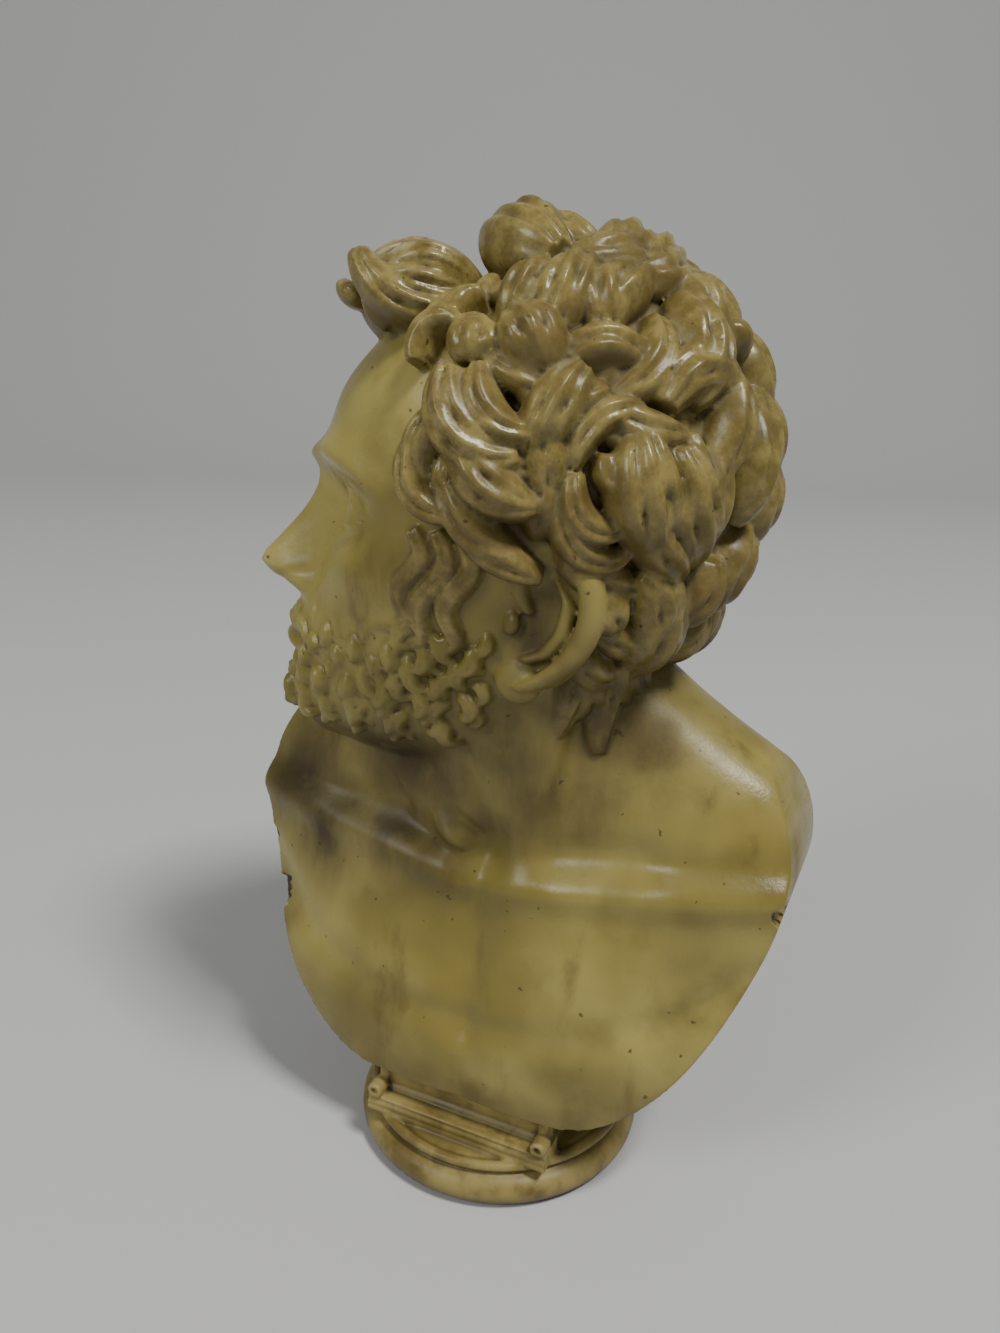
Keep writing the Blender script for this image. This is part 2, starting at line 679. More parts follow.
def earPoint(side, along, up, out):  # the ear's own plane stands off the head towards the nape
    x, y, z = earShape["middle"]
    along, up = along * earShape["size"], up * earShape["size"]
    return toFigure((side * (x + earShape["flare"] * along + out), y + along, z + up))


def earBall(side, centre, radii):
    radii, centre = np.array(radii), np.array(centre)
    return sphereMesh("ear", 48, 32, lambda point: earPoint(side, *(point * radii + centre)))


def earParts(side):
    helix = [(-5, 1, 2), (-12, 8, 3), (-12, 19, 4), (-4, 27, 4), (8, 26, 4), (16, 15, 4), (17, 0, 4),
             (13, -13, 3.5), (6, -23, 2.5), (-2, -30, 1)]
    inner = [(1, 17, 1), (8, 9, 2.5), (8, -3, 2.5), (4, -13, 2), (-3, -18, 2)]
    helixRadii = (2.6, 3.8, 5.0, 5.6, 5.8, 5.6, 5.2, 5.0, 5.0, 4.6)
    return [
        rod([earPoint(side, *p) for p in helix], helixRadii, steps=90),
        rod([earPoint(side, *p) for p in inner], (1.6, 2.8, 3.2, 3.0, 2.4)),
        earBall(side, (3, 0, -3), (17, 28, 4)),
        earBall(side, (-11, -5, 3), (3.4, 5.0, 4.0)),
        earBall(side, (-3, -27, -1), (9, 9, 5)),
        earBall(side, (-6, -10, -6), (14, 20, 7)),
    ]


beardShape = {
    "rows": 8,
    "tuft": (14.5, 8.2, 5.6),  # length, width, height
    "step": 7.0,
    "top": -50.0,
    "spacing": 8.2,
    "earRise": 16.0,
    "sideburn": (  # start round and level, end round and level, waves
        (59, 2, 62, -44, 1.35),
        (66, 4, 69, -50, 1.25),
        (73, 4, 77, -48, 1.35),
    ),
    "sideburnLock": (3.0, 11.0, 6.0),  # sway, width, height
}


def jawPoint(angle, level):
    levels = [row[0] for row in headShape["levels"]]
    across = np.interp(level, levels, [row[1] for row in headShape["levels"]])
    depth = np.interp(level, levels, [row[2] for row in headShape["levels"]])
    return np.array((across * math.sin(angle), -depth * math.cos(angle), level)), across + depth


def beardCurl(start, normal, heading, length, turn, width, height, steps=14):
    normal = np.asarray(normal, float) / np.linalg.norm(normal)
    east = np.cross((0, 0, 1), normal)
    east /= np.linalg.norm(east)
    north = np.cross(normal, east)
    path = [np.asarray(start, float) - 1.5 * normal]
    for i in range(1, steps):
        angle = math.radians(heading + turn * (i / (steps - 1)) ** 1.2)
        ahead = math.sin(angle) * east + math.cos(angle) * north
        path.append(path[-1] + ahead * length / (steps - 1))
    normals = np.tile(normal, (steps, 1))
    return headSweep(path, normals, width, height, (0.14, 0.80, 0.7), 4.0, 2, 0.34, 0.2, 20)


def beardParts():
    length, width, height = beardShape["tuft"]
    parts, sideburns = [], []
    for row in range(beardShape["rows"]):
        level = beardShape["top"] - row * beardShape["step"]
        girth = jawPoint(0, level)[1] * 0.5 * math.radians(172)
        count = max(5, round(girth / beardShape["spacing"]))
        for i in range(count):
            sway = math.sin(2.4 * i + 1.7 * row)
            spread = (i + 0.5 * (row % 2) + 0.2 * sway) / (count - 0.5) * 2 - 1
            if abs(spread) < 0.21 and row < 4:
                continue
            angle = spread * math.radians(86)
            start, _ = jawPoint(angle, level + beardShape["earRise"] * spread ** 2 + 2 * sway)
            if abs(angle) < 1.0:
                start[1] = -faceRelief(start[:1], start[2:], -start[1:2])[0]
            normal = (math.sin(angle), -math.cos(angle), -0.15)
            turn = 190 if (i + row) % 2 else -170
            size = 1 + 0.18 * math.cos(3.1 * i + row)
            size *= 0.62 if row == beardShape["rows"] - 1 else 1
            parts.append(beardCurl(start, normal, 180 - 0.45 * turn + 25 * sway, length * size, turn,
                                   width * size, height * size))
    for side in (-1, 1):
        for i in range(5):
            x, z = 3 + 5.5 * i, -56 - 1.3 * i
            plain = -jawPoint(math.asin(x / 62), z)[0][1]
            front = faceRelief(np.array([x]), np.array([z]), np.array([plain]))[0]
            parts.append(beardCurl((side * x, -front, z), (side * 0.12 * i, -1, 0), side * (98 + 9 * i), 10,
                                   side * (50 if i % 2 else -30), 6, 3.5))
        for row in beardShape["sideburn"]:
            sideburns.append(wavyStrand(side, *row))
    return parts, sideburns


def wavyStrand(side, around, level, aroundEnd, levelEnd, waves, steps=36):
    sway, width, height = beardShape["sideburnLock"]
    share = np.linspace(0, 1, steps)
    angles = around + (aroundEnd - around) * share + sway * np.sin(2 * math.pi * waves * share)
    angles[-9:] -= np.linspace(0, 1, 9) ** 2 * 12
    path, normals = [], []
    for angle, up in zip(np.radians(angles), level + (levelEnd - level) * share):
        path.append(jawPoint(side * angle, up)[0])
        normals.append((side * math.sin(angle), -math.cos(angle), 0.0))
    return headSweep(path, normals, width, height, (0.2, 0.74, 0.6), 5.0, 2, 0.4, 0.3)


def hairMassPoint(point):  # fuller behind the temples than at the brow, the nape and the crown
    around = math.degrees(math.atan2(abs(point[0]), -point[1]))
    level = math.degrees(math.asin(np.clip(point[2], -1, 1)))
    full = softStep(around, 58, 78) * softStep(level, -32, -8) * softStep(-level, -84, -64)
    return toFigure(hairShape["centre"] + point * (hairRadii(point[2]) + hairShape["fill"] * full))


def hairParts():
    parts = [sphereMesh("hairMass", 96, 60, hairMassPoint), ball(*hairShape["quiffCore"])]
    parts += [lock(*row) for row in hairShape["locks"]] + [quiffLock(*row) for row in hairShape["quiff"]]
    for side in (-1, 1):
        for x, y, z, aimAlong, aimUp, length, bend, width, height in hairShape["quiffSide"]:
            parts.append(sideLock((side * x, y, z), aimAlong, aimUp, side, length, bend, width, height))
    aroundBy, upBy = hairShape["rightShift"]
    for row in hairShape["locks"][hairShape["leftOnly"]:]:
        azimuth, elevation, heading, length, turn, width, height, standOff = row
        parts.append(lock(360 - azimuth + aroundBy, elevation + upBy, -heading, length, -turn, width, height,
                          standOff))
    off = hairShape["standOff"]
    length, width, height = hairShape["backLock"]
    low, high = hairShape["backAzimuths"]
    for number, (elevation, count) in enumerate(hairShape["backRows"]):
        for i in range(count):
            azimuth = low + (i + 0.5 * (number % 2)) / count * (high - low)
            turn = (150 if (i + number) % 2 else -130) + 30 * math.sin(2.4 * i + number)
            parts.append(lock(azimuth, elevation + 4, 180 - turn * 0.4, length, turn, width, height, off))
    length, width, height = hairShape["crownLock"]
    for azimuth in hairShape["crownAzimuths"]:
        parts.append(lock(azimuth, 80, 200, length, 80, width, height, off))
    length, width, height = hairShape["napeLock"]
    low, high = hairShape["napeAzimuths"]
    for i in range(hairShape["napeCount"]):
        azimuth = low + (high - low) * i / (hairShape["napeCount"] - 1)
        start, normal = hairPoint(azimuth, hairShape["napeElevation"])
        aim = (-0.2 * normal[0], -0.2 * normal[1], -1)
        drop = length * (1 + 0.15 * math.sin(2.4 * i))
        parts.append(straightLock(start, aim, normal, drop, 0.7 if i % 2 else 0.3, width, height))
    return parts


def joinMeshes(name, meshes):
    whole = bmesh.new()
    for mesh in meshes:
        whole.from_mesh(mesh)
    return addObject(name, closed(whole, bpy.data.meshes.new(name)))


def keepLargest(thing):  # drops bubbles that remeshing leaves inside
    work = opened(thing.data)
    work.verts.ensure_lookup_table()
    owner = np.full(len(work.verts), -1)
    sizes = []
    for vert in work.verts:
        if owner[vert.index] >= 0:
            continue
        number, queue, size = len(sizes), [vert], 0
        owner[vert.index] = number
        while queue:
            here = queue.pop()
            size += 1
            for edge in here.link_edges:
                other = edge.other_vert(here)
                if owner[other.index] < 0:
                    owner[other.index] = number
                    queue.append(other)
        sizes.append(size)
    biggest = int(np.argmax(sizes))
    crumbs = [v for v in work.verts if owner[v.index] != biggest]
    bmesh.ops.delete(work, geom=crumbs, context="VERTS")
    closed(work, thing.data)


def remesh(thing, voxel, softenSteps):
    step = thing.modifiers.new("Remesh", "REMESH")
    step.mode = "VOXEL"
    step.voxel_size = voxel
    soften = thing.modifiers.new("Soften", "SMOOTH")
    soften.factor = 0.5
    soften.iterations = softenSteps
    applyModifiers(thing)


def thinTo(thing, triangles):
    now = sum(len(p.vertices) - 2 for p in thing.data.polygons)
    if now > triangles:
        step = thing.modifiers.new("Decimate", "DECIMATE")
        step.ratio = triangles / now
        applyModifiers(thing)


def partLabels(groups):  # every point of the joined parts with its group's number
    points = np.concatenate([meshPoints(mesh) for group in groups for mesh in group])
    counts = [sum(len(mesh.vertices) for mesh in group) for group in groups]
    return points, np.repeat(np.arange(len(groups)), counts)


def nearestLabel(points, partPoints, labels):  # which group's surface each melted point came from
    tree = KDTree(len(partPoints))
    for number, place in enumerate(partPoints):
        tree.insert(place, number)
    tree.balance()
    return np.array([labels[tree.find(place)[1]] for place in points])


def spread(mesh, values, steps):  # averages values with their neighbours' along the edges
    ends = np.empty(len(mesh.edges) * 2, np.int64)
    mesh.edges.foreach_get("vertices", ends)
    a, b = ends[0::2], ends[1::2]
    count = len(mesh.vertices)
    degree = np.bincount(a, minlength=count) + np.bincount(b, minlength=count)
    values = np.asarray(values, float).reshape(count, -1).copy()
    for _ in range(steps):
        sums = [np.bincount(a, v[b], count) + np.bincount(b, v[a], count) for v in values.T]
        total = np.stack(sums, axis=1)
        values = 0.5 * values + 0.5 * total / np.maximum(degree, 1)[:, None]
    return values


def writeField(mesh, name, values):
    layer = mesh.attributes.new(name, "FLOAT", "POINT")
    layer.data.foreach_set("value", np.clip(values, -4, 4).astype(np.float32).ravel())


def hollowFields(mesh, fineSteps, broadSteps):  # how deep each point lies under its surroundings, mm
    points, normals = meshPoints(mesh), meshPoints(mesh, "vector")
    fine = np.sum((spread(mesh, points, fineSteps) - points) * normals, axis=1) * 1000
    broad = np.sum((spread(mesh, points, broadSteps) - points) * normals, axis=1) * 1000
    writeField(mesh, "fine", spread(mesh, fine, 1))
    writeField(mesh, "hollow", spread(mesh, broad, 2))


wearShape = {
    "chips": (  # middle in figure millimetres, reach, depth
        ((-117, -19, 64), (8, 15, 12), 3.2),
        ((134, -9, 114), (6, 10, 6), 3.0),
        ((122, -17, 66), (5, 8, 4), 1.2),
        ((-128, -14, 92), (4, 8, 4), 1.0),
    ),
    "grime": (  # the same for the patches of brown dirt, with their strength
        ((-118, -18, 62), (20, 40, 20), 0.7),
        ((-105, -15, 128), (44, 40, 34), 1.0),
        ((-40, -26, 158), (58, 44, 42), 1.0),
        ((-88, -30, 110), (36, 50, 32), 1.0),
        ((-46, -38, 118), (36, 50, 27), 1.0),
        ((4, -30, 134), (30, 50, 18), 0.8),
        ((8, -16, 168), (36, 44, 28), 0.95),
        ((30, -24, 152), (60, 60, 28), 0.8),
        ((54, 4, 184), (38, 56, 34), 0.9),
        ((-6, -10, 188), (74, 50, 30), 0.95),
        ((100, -20, 86), (26, 30, 26), 0.45),
        ((72, -54, 24), (34, 40, 22), 0.5),
        ((-60, -50, 40), (30, 40, 16), 0.4),
        ((20, -60, 4), (70, 40, 8), 0.55),
        ((98, -30, 62), (12, 30, 34), 0.4),
        ((112, 20, 136), (26, 40, 10), 0.35),
        ((60, 0, 130), (60, 30, 9), 0.5),
    ),
    "headGrime": (  # the same, in head millimetres
        ((70, 9, -24), (14, 18, 26), 1.0),
        ((-70, 9, -24), (14, 18, 26), 1.0),
        ((84, 16, -20), (18, 28, 40), 0.55),
        ((-84, 16, -20), (18, 28, 40), 0.55),
        ((0, -44, -112), (62, 60, 14), 0.75),
        ((72, 30, -50), (20, 30, 30), 0.45),
        ((66, -34, 24), (10, 16, 30), 0.35),
    ),
    "rubbed": (  # the same for pale rubbed plaster, in head millimetres
        ((14, -76, 104), (20, 18, 8), 1.0),
        ((66, 24, 56), (7, 30, 7), 0.35),
        ((0, -112, -38), (9, 9, 9), 0.35),
    ),
}


def patches(points, rows):
    total = np.zeros(len(points))
    for middle, reach, strength in rows:
        gap = np.linalg.norm((points - np.array(middle)) / np.array(reach), axis=1)
        total = np.maximum(total, strength * np.exp(-gap ** 2))
    return total


def chipBust(mesh):  # knocks on the rim, with their bare brown colour
    points = meshPoints(mesh)
    figure = (points - np.array((0, 0, seat))) / mm
    inward = np.array((0, 24, 90)) - figure
    inward /= np.linalg.norm(inward, axis=1)[:, None]
    for middle, reach, depth in wearShape["chips"]:
        gap = np.linalg.norm((figure - np.array(middle)) / np.array(reach), axis=1)
        gap += 0.12 * np.sin(figure[:, 1] * 1.3 + figure[:, 2] * 0.9)
        bite = 1 - softStep(gap, 0.60, 1.0)
        points += inward * (bite * depth * mm)[:, None]
    movePoints(mesh, points)


def underField(mesh, steps):
    under = softStep(-meshPoints(mesh, "vector")[:, 2], 0.1, 0.8)
    writeField(mesh, "under", spread(mesh, under, steps))


def softShade(mesh):
    mesh.polygons.foreach_set("use_smooth", [True] * len(mesh.polygons))
    mesh.set_sharp_from_angle(angle=math.radians(70))


def wearBust(mesh, partPoints, labels):
    points = meshPoints(mesh)
    figure = (points - np.array((0, 0, seat))) / mm
    inHead = (figure - np.array(headShape["origin"])) @ headPose
    label = nearestLabel(points, partPoints * mm + np.array((0, 0, seat)), labels)
    writeField(mesh, "hairy", spread(mesh, label == 2, 3))
    writeField(mesh, "bearded", spread(mesh, label == 3, 8))
    grime = np.maximum(patches(figure, wearShape["grime"]), patches(inHead, wearShape["headGrime"]))
    writeField(mesh, "grime", grime)
    writeField(mesh, "rubbed", patches(inHead, wearShape["rubbed"]))
    underField(mesh, 6)


def seatCut(mesh):  # trimmed level where the bust sits on the tablet
    work = opened(mesh)
    everything = work.verts[:] + work.edges[:] + work.faces[:]
    result = bmesh.ops.bisect_plane(work, geom=everything, plane_co=(0, 0, seat), plane_no=(0, 0, 1),
                                    clear_inner=True)
    rim = [item for item in result["geom_cut"] if isinstance(item, bmesh.types.BMEdge)]
    bmesh.ops.triangle_fill(work, edges=rim, use_beauty=True, normal=(0, 0, -1))
    bmesh.ops.recalc_face_normals(work, faces=work.faces[:])
    closed(work, mesh)


def makeBust():
    beard, sideburns = beardParts()
    groups = [[makeTorso()], [makeFace()] + earParts(1) + earParts(-1), hairParts() + sideburns, beard]
    print("torso melted, carved and cut")
    partPoints, labels = partLabels(groups)
    bust = joinMeshes("castBust", [mesh for group in groups for mesh in group])
    bust.data.transform(Matrix.Translation((0, 0, seat)) @ Matrix.Scale(mm, 4))
    print("parts joined", len(bust.data.polygons))
    remesh(bust, bustMesh["voxel"], bustMesh["softenSteps"])
    print("remeshed", len(bust.data.polygons))
    chipBust(bust.data)
    hollowFields(bust.data, 6, 70)
    print("chipped, hollows measured")
    thinTo(bust, bustMesh["triangles"])
    keepLargest(bust)
    print("thinned", len(bust.data.polygons))
    seatCut(bust.data)
    wearBust(bust.data, partPoints, labels)
    softShade(bust.data)
    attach(bust, "root")
    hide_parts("bust")
    return bust


# Socle: turned foot, tablet, the bar along its front and the bar's curled ends
socleShape = {
    "rim": 0.022, "disc": 0.029, "bead": 0.0035, "beadInset": 0.010, "groove": 0.0012,
    "tabletHalfWidth": 0.062, "tabletFront": 0.0635, "tabletBack": 0.043, "tabletTop": 0.0605,
    "panelInset": 0.006, "panelDepth": 0.0022,
    "barHalfWidth": 0.0655, "barFront": 0.0755, "barTop": 0.0405,
    "barProfile": (  # out from the tablet's front, up from the disc
        (0.0000, -0.0010), (0.0100, -0.0010), (0.0120, 0.0008), (0.0120, 0.0030), (0.0108, 0.0040),
        (0.0113, 0.0050), (0.0113, 0.0072), (0.0098, 0.0082), (0.0102, 0.0092), (0.0102, 0.0108),
        (0.0092, 0.0115), (-0.0120, 0.0115), (-0.0120, -0.0010),
    ),
    "curlRadius": 0.0055, "curlDepth": 0.012, "curlEye": 0.0022, "curlTurns": 1.15, "curlRoll": 0.0013,
    "voxel": 0.0011, "softenSteps": 2, "triangles": 150000,
}


def latheMesh(profile, steps=200):
    profile = np.array(profile)
    angles = np.linspace(0, 2 * math.pi, steps, endpoint=False)
    rings = []
    for radius, height in profile:
        rings.append(np.stack([radius * np.cos(angles), radius * np.sin(angles), np.full(steps, height)], 1))
    return loft("lathe", rings)


def arc(middle, radius, start, end, count):
    angles = np.radians(np.linspace(start, end, count))
    return [(middle[0] + radius * math.cos(a), middle[1] + radius * math.sin(a)) for a in angles]


def boxMesh(low, high):
    (x, y, z), (u, v, w) = low, high
    return loft("box", [[(x, y, level), (u, y, level), (u, v, level), (x, v, level)] for level in (z, w)])


def footMesh(footRadius):
    s = socleShape
    torus, ring = s["rim"] / 2, footRadius - s["beadInset"]
    level = s["disc"] - s["bead"] * 0.6
    points = [(0.001, 0.0), (footRadius - torus - 0.001, 0.0)]
    points += arc((footRadius - torus, torus), torus, -80, 84, 22)
    points += [(footRadius - torus - 0.002, s["rim"] - s["groove"])]
    points += arc((ring, level), s["bead"], -20, 165, 14)
    points += [(ring - s["bead"] - 0.0006, s["disc"] - s["groove"]), (ring - s["bead"] - 0.003, s["disc"]),
               (0.001, s["disc"])]
    return latheMesh(points)


def curlMeshes(side):  # a knob with a raised spiral round its eye
    s = socleShape
    middle = np.array((side * (s["barHalfWidth"] - s["curlRadius"]), 0, s["barTop"] + 0.7 * s["curlRadius"]))
    front, back = -s["barFront"], -s["barFront"] + s["curlDepth"]
    angles = np.linspace(0, 2 * math.pi, 48, endpoint=False)
    circle = np.stack([np.cos(angles), np.zeros(48), np.sin(angles)], axis=1)
    depths = ((front + 0.0008, 0.80), (front + 0.0008, 0.45), (front + 0.003, 0.35), (front + 0.003, 0.1))
    rings = [middle + (0, y, 0) + circle * s["curlRadius"] * share for y, share in reversed(depths)]
    rings += [middle + (0, y, 0) + circle * s["curlRadius"] for y in (front + 0.0014, back)]
    turns = np.linspace(0, 2 * math.pi * s["curlTurns"], 60)
    reach = np.linspace(s["curlRadius"] - s["curlRoll"], s["curlEye"] + 0.4 * s["curlRoll"], 60)
    path = np.stack([middle[0] - side * reach * np.cos(turns - 1.2), np.full(60, front + 0.0012),
                     middle[2] + reach * np.sin(turns - 1.2)], axis=1)
    normals = np.tile((0.0, -1.0, 0.0), (60, 1))
    roll = np.full(60, s["curlRoll"])
    return [loft("knob", rings), sweep(path, normals, 2 * roll, roll, s["curlRoll"])]


def makeSocle():
    s = socleShape
    half, front, back, top = s["tabletHalfWidth"], -s["tabletFront"], s["tabletBack"], s["tabletTop"]
    tablet = addObject("tablet", boxMesh((-half, front, 0.012), (half, back, top)), hidden=True)
    inset, depth, low = s["panelInset"], s["panelDepth"], s["disc"] + 0.003
    panels = [((-half + inset, front - 0.01, s["barTop"] + 0.003),
               (half - inset, front + depth, top - inset * 0.6))]
    for side in (-1, 1):
        across = sorted((side * (half - depth), side * (half + 0.01)))
        panels.append(((across[0], front + 2 * inset, low), (across[1], back - inset, top - inset)))
    for low, high in panels:
        panel = addObject("panel", boxMesh(low, high), hidden=True)
        cut(tablet, panel, "DIFFERENCE")
        bpy.data.objects.remove(panel)
    profile = [(-s["tabletFront"] - out, s["disc"] + up) for out, up in s["barProfile"]]
    ends = [[(x, y, z) for y, z in profile] for x in (-s["barHalfWidth"], s["barHalfWidth"])]
    parts = [footMesh(footRadius), tablet.data, loft("bar", ends)] + curlMeshes(-1) + curlMeshes(1)
    socle = joinMeshes("castSocle", parts)
    bpy.data.objects.remove(tablet)
    remesh(socle, s["voxel"], s["softenSteps"])
    hollowFields(socle.data, 5, 40)
    thinTo(socle, s["triangles"])
    keepLargest(socle)
    points = meshPoints(socle.data)
    writeField(socle.data, "low", 1 - softStep(points[:, 2], 0.0, 0.011))
    rim = softStep(np.hypot(points[:, 0], points[:, 1]), footRadius - 0.016, footRadius - 0.002)
    writeField(socle.data, "rim", rim)
    underField(socle.data, 4)
    softShade(socle.data)
    print("socle melted", len(socle.data.polygons))
    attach(socle, "root")
    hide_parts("socle")
    return socle


# Glaze: olive and yellow washes, browner on the hair, dust and dirt by the surface fields
class Paint:
    def __init__(self, name):
        self.material = bpy.data.materials.new(name)
        self.material.use_nodes = True
        self.nodes = self.material.node_tree.nodes
        self.links = self.material.node_tree.links
        self.shader = self.nodes["Principled BSDF"]
        self.shader.inputs["Specular IOR Level"].default_value = 0.36
        self.place = self.nodes.new("ShaderNodeTexCoord").outputs["Object"]

    def put(self, value, socket):
        if hasattr(value, "is_linked"):
            self.links.new(value, socket)
        else:
            socket.default_value = value

    def field(self, name):
        node = self.nodes.new("ShaderNodeAttribute")
        node.attribute_name = name
        return node.outputs["Fac"]

    def noise(self, scale, detail=4.0, rough=0.55, stretch=None):
        node = self.nodes.new("ShaderNodeTexNoise")
        node.inputs["Scale"].default_value = scale
        node.inputs["Detail"].default_value = detail
        node.inputs["Roughness"].default_value = rough
        place = self.place
        if stretch:
            mapping = self.nodes.new("ShaderNodeMapping")
            mapping.inputs["Scale"].default_value = stretch
            self.links.new(place, mapping.inputs["Vector"])
            place = mapping.outputs["Vector"]
        self.links.new(place, node.inputs["Vector"])
        return node.outputs["Fac"]

    def range(self, value, low, high, floor=0.0, ceiling=1.0):
        node = self.nodes.new("ShaderNodeMapRange")
        node.interpolation_type = "SMOOTHSTEP"
        self.put(value, node.inputs["Value"])
        node.inputs["From Min"].default_value = low
        node.inputs["From Max"].default_value = high
        node.inputs["To Min"].default_value = floor
        node.inputs["To Max"].default_value = ceiling
        return node.outputs["Result"]

    def maths(self, operation, a, b, clamp=True):
        node = self.nodes.new("ShaderNodeMath")
        node.operation = operation
        node.use_clamp = clamp
        self.put(a, node.inputs[0])
        self.put(b, node.inputs[1])
        return node.outputs[0]

    def times(self, *values):
        total = values[0]
        for value in values[1:]:
            total = self.maths("MULTIPLY", total, value)
        return total

    def mix(self, a, b, share):
        node = self.nodes.new("ShaderNodeMix")
        node.data_type = "RGBA"
        self.put(share, node.inputs["Factor"])
        self.put(a, node.inputs[6])
        self.put(b, node.inputs[7])
        return node.outputs[2]

    def wash(self, colour, name, *shares):  # a glaze colour laid over, as strongly as the shares say
        return self.mix(colour, glazeShape[name], self.times(*shares))

    def spot(self, place, reach, ragged):  # one inside an egg round the place, with a ragged edge
        away, scaled, far = (self.nodes.new("ShaderNodeVectorMath") for _ in range(3))
        away.operation, scaled.operation, far.operation = "SUBTRACT", "DIVIDE", "LENGTH"
        self.links.new(self.place, away.inputs[0])
        away.inputs[1].default_value = place
        self.links.new(away.outputs[0], scaled.inputs[0])
        scaled.inputs[1].default_value = reach
        self.links.new(scaled.outputs[0], far.inputs[0])
        return self.range(self.maths("ADD", far.outputs["Value"], ragged, False), 1.60, 1.42)

    def bump(self, height, strength, distance, normal=None):
        node = self.nodes.new("ShaderNodeBump")
        node.inputs["Strength"].default_value = strength
        node.inputs["Distance"].default_value = distance
        self.links.new(height, node.inputs["Height"])
        if normal:
            self.links.new(normal, node.inputs["Normal"])
        return node.outputs["Normal"]


glazeShape = {
    "olive": (0.205, 0.165, 0.038, 1),
    "yellow": (0.40, 0.335, 0.100, 1),
    "hair": (0.150, 0.112, 0.032, 1),
    "hairLight": (0.31, 0.245, 0.085, 1),
    "dust": (0.24, 0.215, 0.115, 1),
    "dirt": (0.045, 0.028, 0.010, 1),
    "brown": (0.105, 0.068, 0.018, 1),
    "worn": (0.46, 0.35, 0.14, 1),
    "rubbed": (0.58, 0.52, 0.41, 1),
    "chip": (0.045, 0.025, 0.012, 1),
}


def bustGlaze():
    g, p = glazeShape, Paint("tonedPlaster")
    hollow, fine, hairy = p.field("hollow"), p.field("fine"), p.field("hairy")
    broad, patch = p.noise(7.0, 3.0), p.noise(22.0, 5.0)
    mottle, grain = p.noise(75.0, 6.0, 0.65), p.noise(420.0, 3.0)
    drip = p.noise(26.0, 5.0, 0.6, (1.0, 1.0, 0.35))
    skin = p.mix(g["olive"], g["yellow"], p.range(broad, 0.32, 0.62))
    skin = p.wash(skin, "olive", p.range(patch, 0.48, 0.72), 0.65)
    skin = p.wash(skin, "brown", p.range(drip, 0.56, 0.74), 0.55)
    locks = p.mix(g["hair"], g["hairLight"], p.range(mottle, 0.35, 0.68))
    locks = p.wash(locks, "brown", p.range(patch, 0.45, 0.65), 0.6)
    colour = p.mix(skin, locks, p.times(hairy, 0.9))
    dusty = p.times(hairy, p.range(hollow, -0.2, 1.5), p.range(patch, 0.30, 0.55))
    colour = p.wash(colour, "dust", dusty, 0.45)
    colour = p.wash(colour, "dirt", p.range(hollow, 2.6, 4.6), 0.5)
    colour = p.wash(colour, "dirt", hairy, p.range(fine, 0.08, 0.50), 0.8)
    colour = p.wash(colour, "dirt", hairy, p.range(hollow, 1.0, 3.2), 0.6)
    colour = p.wash(colour, "dirt", p.field("bearded"), p.range(fine, 0.04, 0.35), 0.6)
    colour = p.wash(colour, "brown", p.range(fine, 0.12, 0.5), 0.55)
    grime = p.times(p.field("grime"), p.range(drip, 0.30, 0.60, 0.65, 1.0))
    colour = p.wash(colour, "dirt", grime, 0.97)
    colour = p.wash(colour, "dirt", p.field("under"), 0.55)
    worn = p.times(p.range(fine, -0.25, -0.70), p.range(mottle, 0.38, 0.56), p.range(grime, 0.40, 0.12))
    colour = p.wash(colour, "worn", worn, 0.75)
    rubbed = p.times(p.field("rubbed"), p.range(mottle, 0.40, 0.56), p.range(fine, 0.10, -0.25))
    colour = p.wash(colour, "rubbed", rubbed, 0.9)
    colour = p.wash(colour, "dirt", p.range(p.noise(160.0, 2.0, 0.4), 0.735, 0.765), 0.7)
    for middle, reach, _ in wearShape["chips"]:
        place = [v * mm for v in middle]
        place[2] += seat
        colour = p.wash(colour, "chip", p.spot(place, [0.8 * v * mm for v in reach], mottle))
    p.put(colour, p.shader.inputs["Base Color"])
    dull = p.maths("ADD", p.times(dusty, 0.35), p.times(grime, 0.25))
    rough = p.maths("ADD", p.range(patch, 0.30, 0.70, 0.20, 0.39), dull)
    p.put(p.maths("ADD", rough, p.times(rubbed, 0.2)), p.shader.inputs["Roughness"])
    relief = p.bump(mottle, 0.22, 0.0012)
    p.put(p.bump(grain, 0.20, 0.0004, relief), p.shader.inputs["Normal"])
    return p.material


def socleGlaze():
    g, p = glazeShape, Paint("tonedPlasterFoot")
    hollow, fine = p.field("hollow"), p.field("fine")
    patch, mottle, grain = p.noise(24.0, 5.0), p.noise(85.0, 6.0, 0.65), p.noise(420.0, 3.0)
    colour = p.mix(g["hair"], g["hairLight"], p.range(patch, 0.38, 0.66))
    colour = p.wash(colour, "brown", p.range(mottle, 0.50, 0.70), 0.6)
    colour = p.wash(colour, "dirt", p.range(hollow, 0.15, 1.3), 0.8)
    colour = p.wash(colour, "worn", p.range(fine, -0.10, -0.40), p.range(mottle, 0.40, 0.58), 0.8)
    ringWear = p.times(p.field("rim"), p.range(patch, 0.44, 0.60))
    colour = p.wash(colour, "hairLight", ringWear, 0.6)
    low = p.times(p.field("low"), p.range(mottle, 0.30, 0.55, 0.5, 1.0))
    colour = p.wash(colour, "dirt", low, 0.85)
    colour = p.wash(colour, "dirt", p.field("under"), 0.6)
    p.put(colour, p.shader.inputs["Base Color"])
    p.put(p.range(patch, 0.30, 0.70, 0.34, 0.52), p.shader.inputs["Roughness"])
    relief = p.bump(mottle, 0.25, 0.0010)
    p.put(p.bump(grain, 0.20, 0.0004, relief), p.shader.inputs["Normal"])
    return p.material


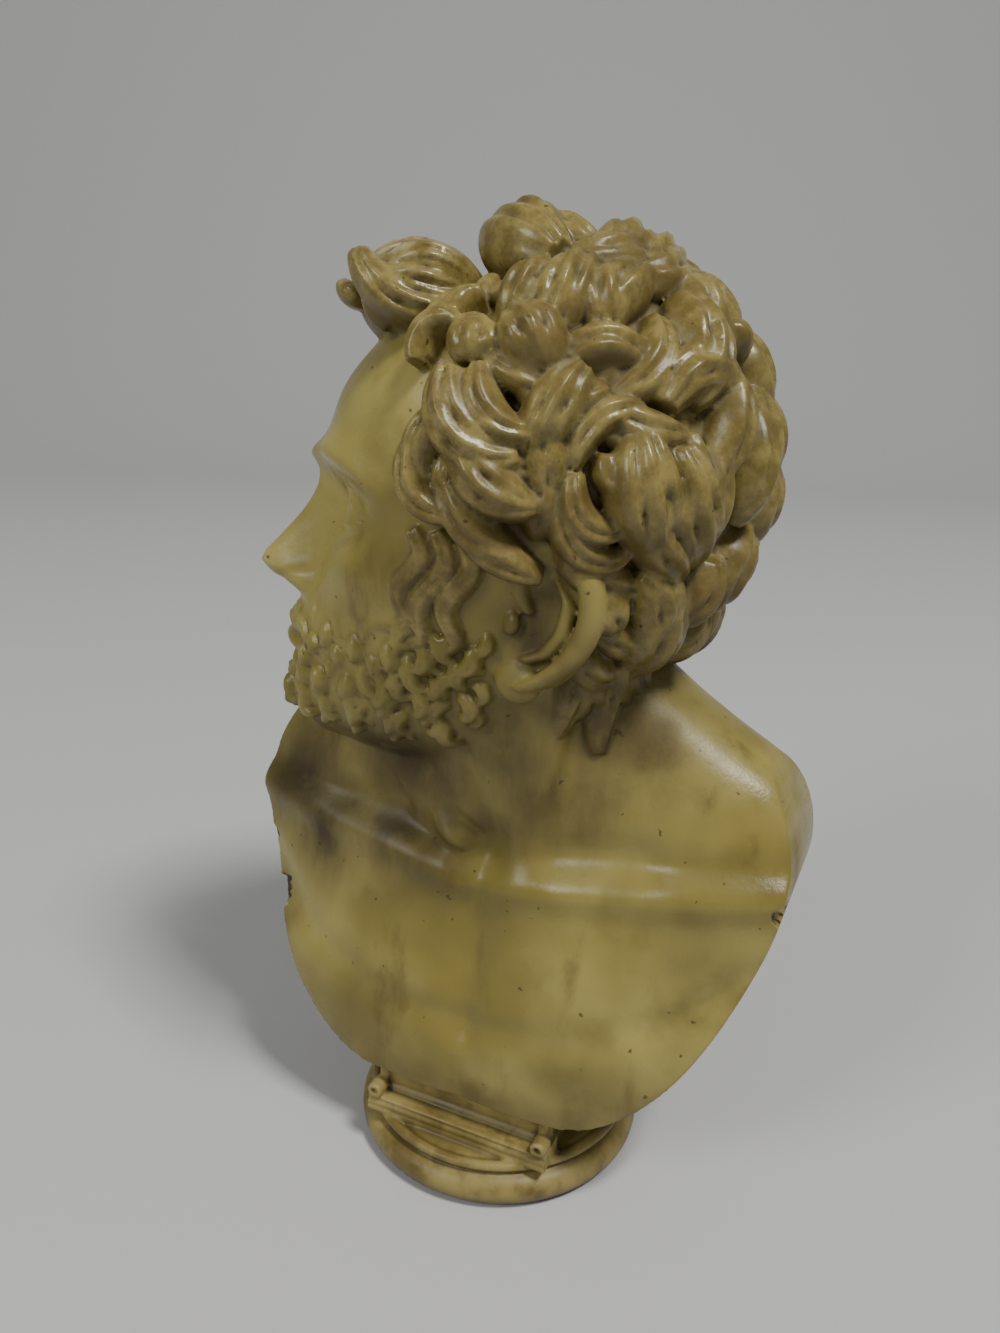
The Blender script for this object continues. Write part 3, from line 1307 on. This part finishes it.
def paint(thing, material):
    thing.data.materials.clear()
    thing.data.materials.append(material)


# Photograph's view: a hand-held lens above and to the sitter's left of the chest
viewShape = {
    "place": (2.53, -5.79, 5.56),  # in foot radii
    "down": 18.6, "roll": 1.7, "heading": 24.4,
    "focal": 1040 / 1333 * 36,
}


def makeCamera():
    camera = bpy.data.objects.new("camera", bpy.data.cameras.new("camera"))
    bpy.context.scene.collection.objects.link(camera)
    bpy.context.scene.camera = camera
    camera.data.sensor_width = 36
    camera.data.lens = viewShape["focal"]
    aim = (Matrix.Rotation(math.radians(viewShape["heading"]), 4, "Z")
           @ Matrix.Rotation(math.radians(90 - viewShape["down"]), 4, "X")
           @ Matrix.Rotation(math.radians(viewShape["roll"]), 4, "Z"))
    camera.matrix_world = Matrix.Translation(Vector(viewShape["place"]) * footRadius) @ aim


def makeLamp(name, place, aim, size, power, colour):
    lamp = bpy.data.objects.new(name, bpy.data.lights.new(name, "AREA"))
    bpy.context.scene.collection.objects.link(lamp)
    lamp.location = place
    lamp.rotation_euler = (Vector(aim) - Vector(place)).to_track_quat("-Z", "Y").to_euler()
    lamp.data.size = size
    lamp.data.energy = power
    lamp.data.color = colour


def sweepFloor():  # a pale floor that rises behind the object in one smooth curve
    away = Matrix.Rotation(math.radians(viewShape["heading"]), 3, "Z") @ Vector((0, 1, 0))
    aside = Vector((away.y, -away.x, 0))
    profile = [(-14.0, 0.0), (3.0, 0.0)]
    for angle in np.linspace(0.05, math.pi / 2, 24):
        profile.append((3.0 + 2.0 * math.sin(angle), 2.0 - 2.0 * math.cos(angle)))
    profile.append((5.0, 9.0))
    points, faces = [], []
    for reach, height in profile:
        for side in (-14, 14):
            points.append(away * reach + aside * side + Vector((0, 0, height)))
    for i in range(len(profile) - 1):
        faces.append((2 * i, 2 * i + 1, 2 * i + 3, 2 * i + 2))
    mesh = bpy.data.meshes.new("floor")
    mesh.from_pydata(points, [], faces)
    mesh.polygons.foreach_set("use_smooth", [True] * len(faces))
    if mesh.polygons[0].normal.z < 0:
        mesh.flip_normals()
    return mesh


def makeStudio():
    floor = addObject("floor", sweepFloor())
    cloth = Paint("floorPaint")
    cloth.put((0.56, 0.57, 0.585, 1), cloth.shader.inputs["Base Color"])
    cloth.put(0.9, cloth.shader.inputs["Roughness"])
    paint(floor, cloth.material)
    world = bpy.data.worlds.new("studio")
    bpy.context.scene.world = world
    world.use_nodes = True
    backdrop = world.node_tree.nodes["Background"]
    backdrop.inputs["Color"].default_value = (0.82, 0.80, 0.77, 1)
    backdrop.inputs["Strength"].default_value = 0.25
    makeLamp("ceiling", (2.6, -0.9, 5.2), (0, 0, 0.30), 1.1, 255, (1.0, 0.98, 0.92))
    makeLamp("frontFill", (-2.2, -4.4, 3.6), (0, 0, 0.3), 2.0, 118, (1.0, 0.99, 0.95))


makeCamera()
makeStudio()
print("camera and lamps placed")
bust = makeBust()
paint(bust, bustGlaze())
print("bust made")
socle = makeSocle()
paint(socle, socleGlaze())
print("socle made")
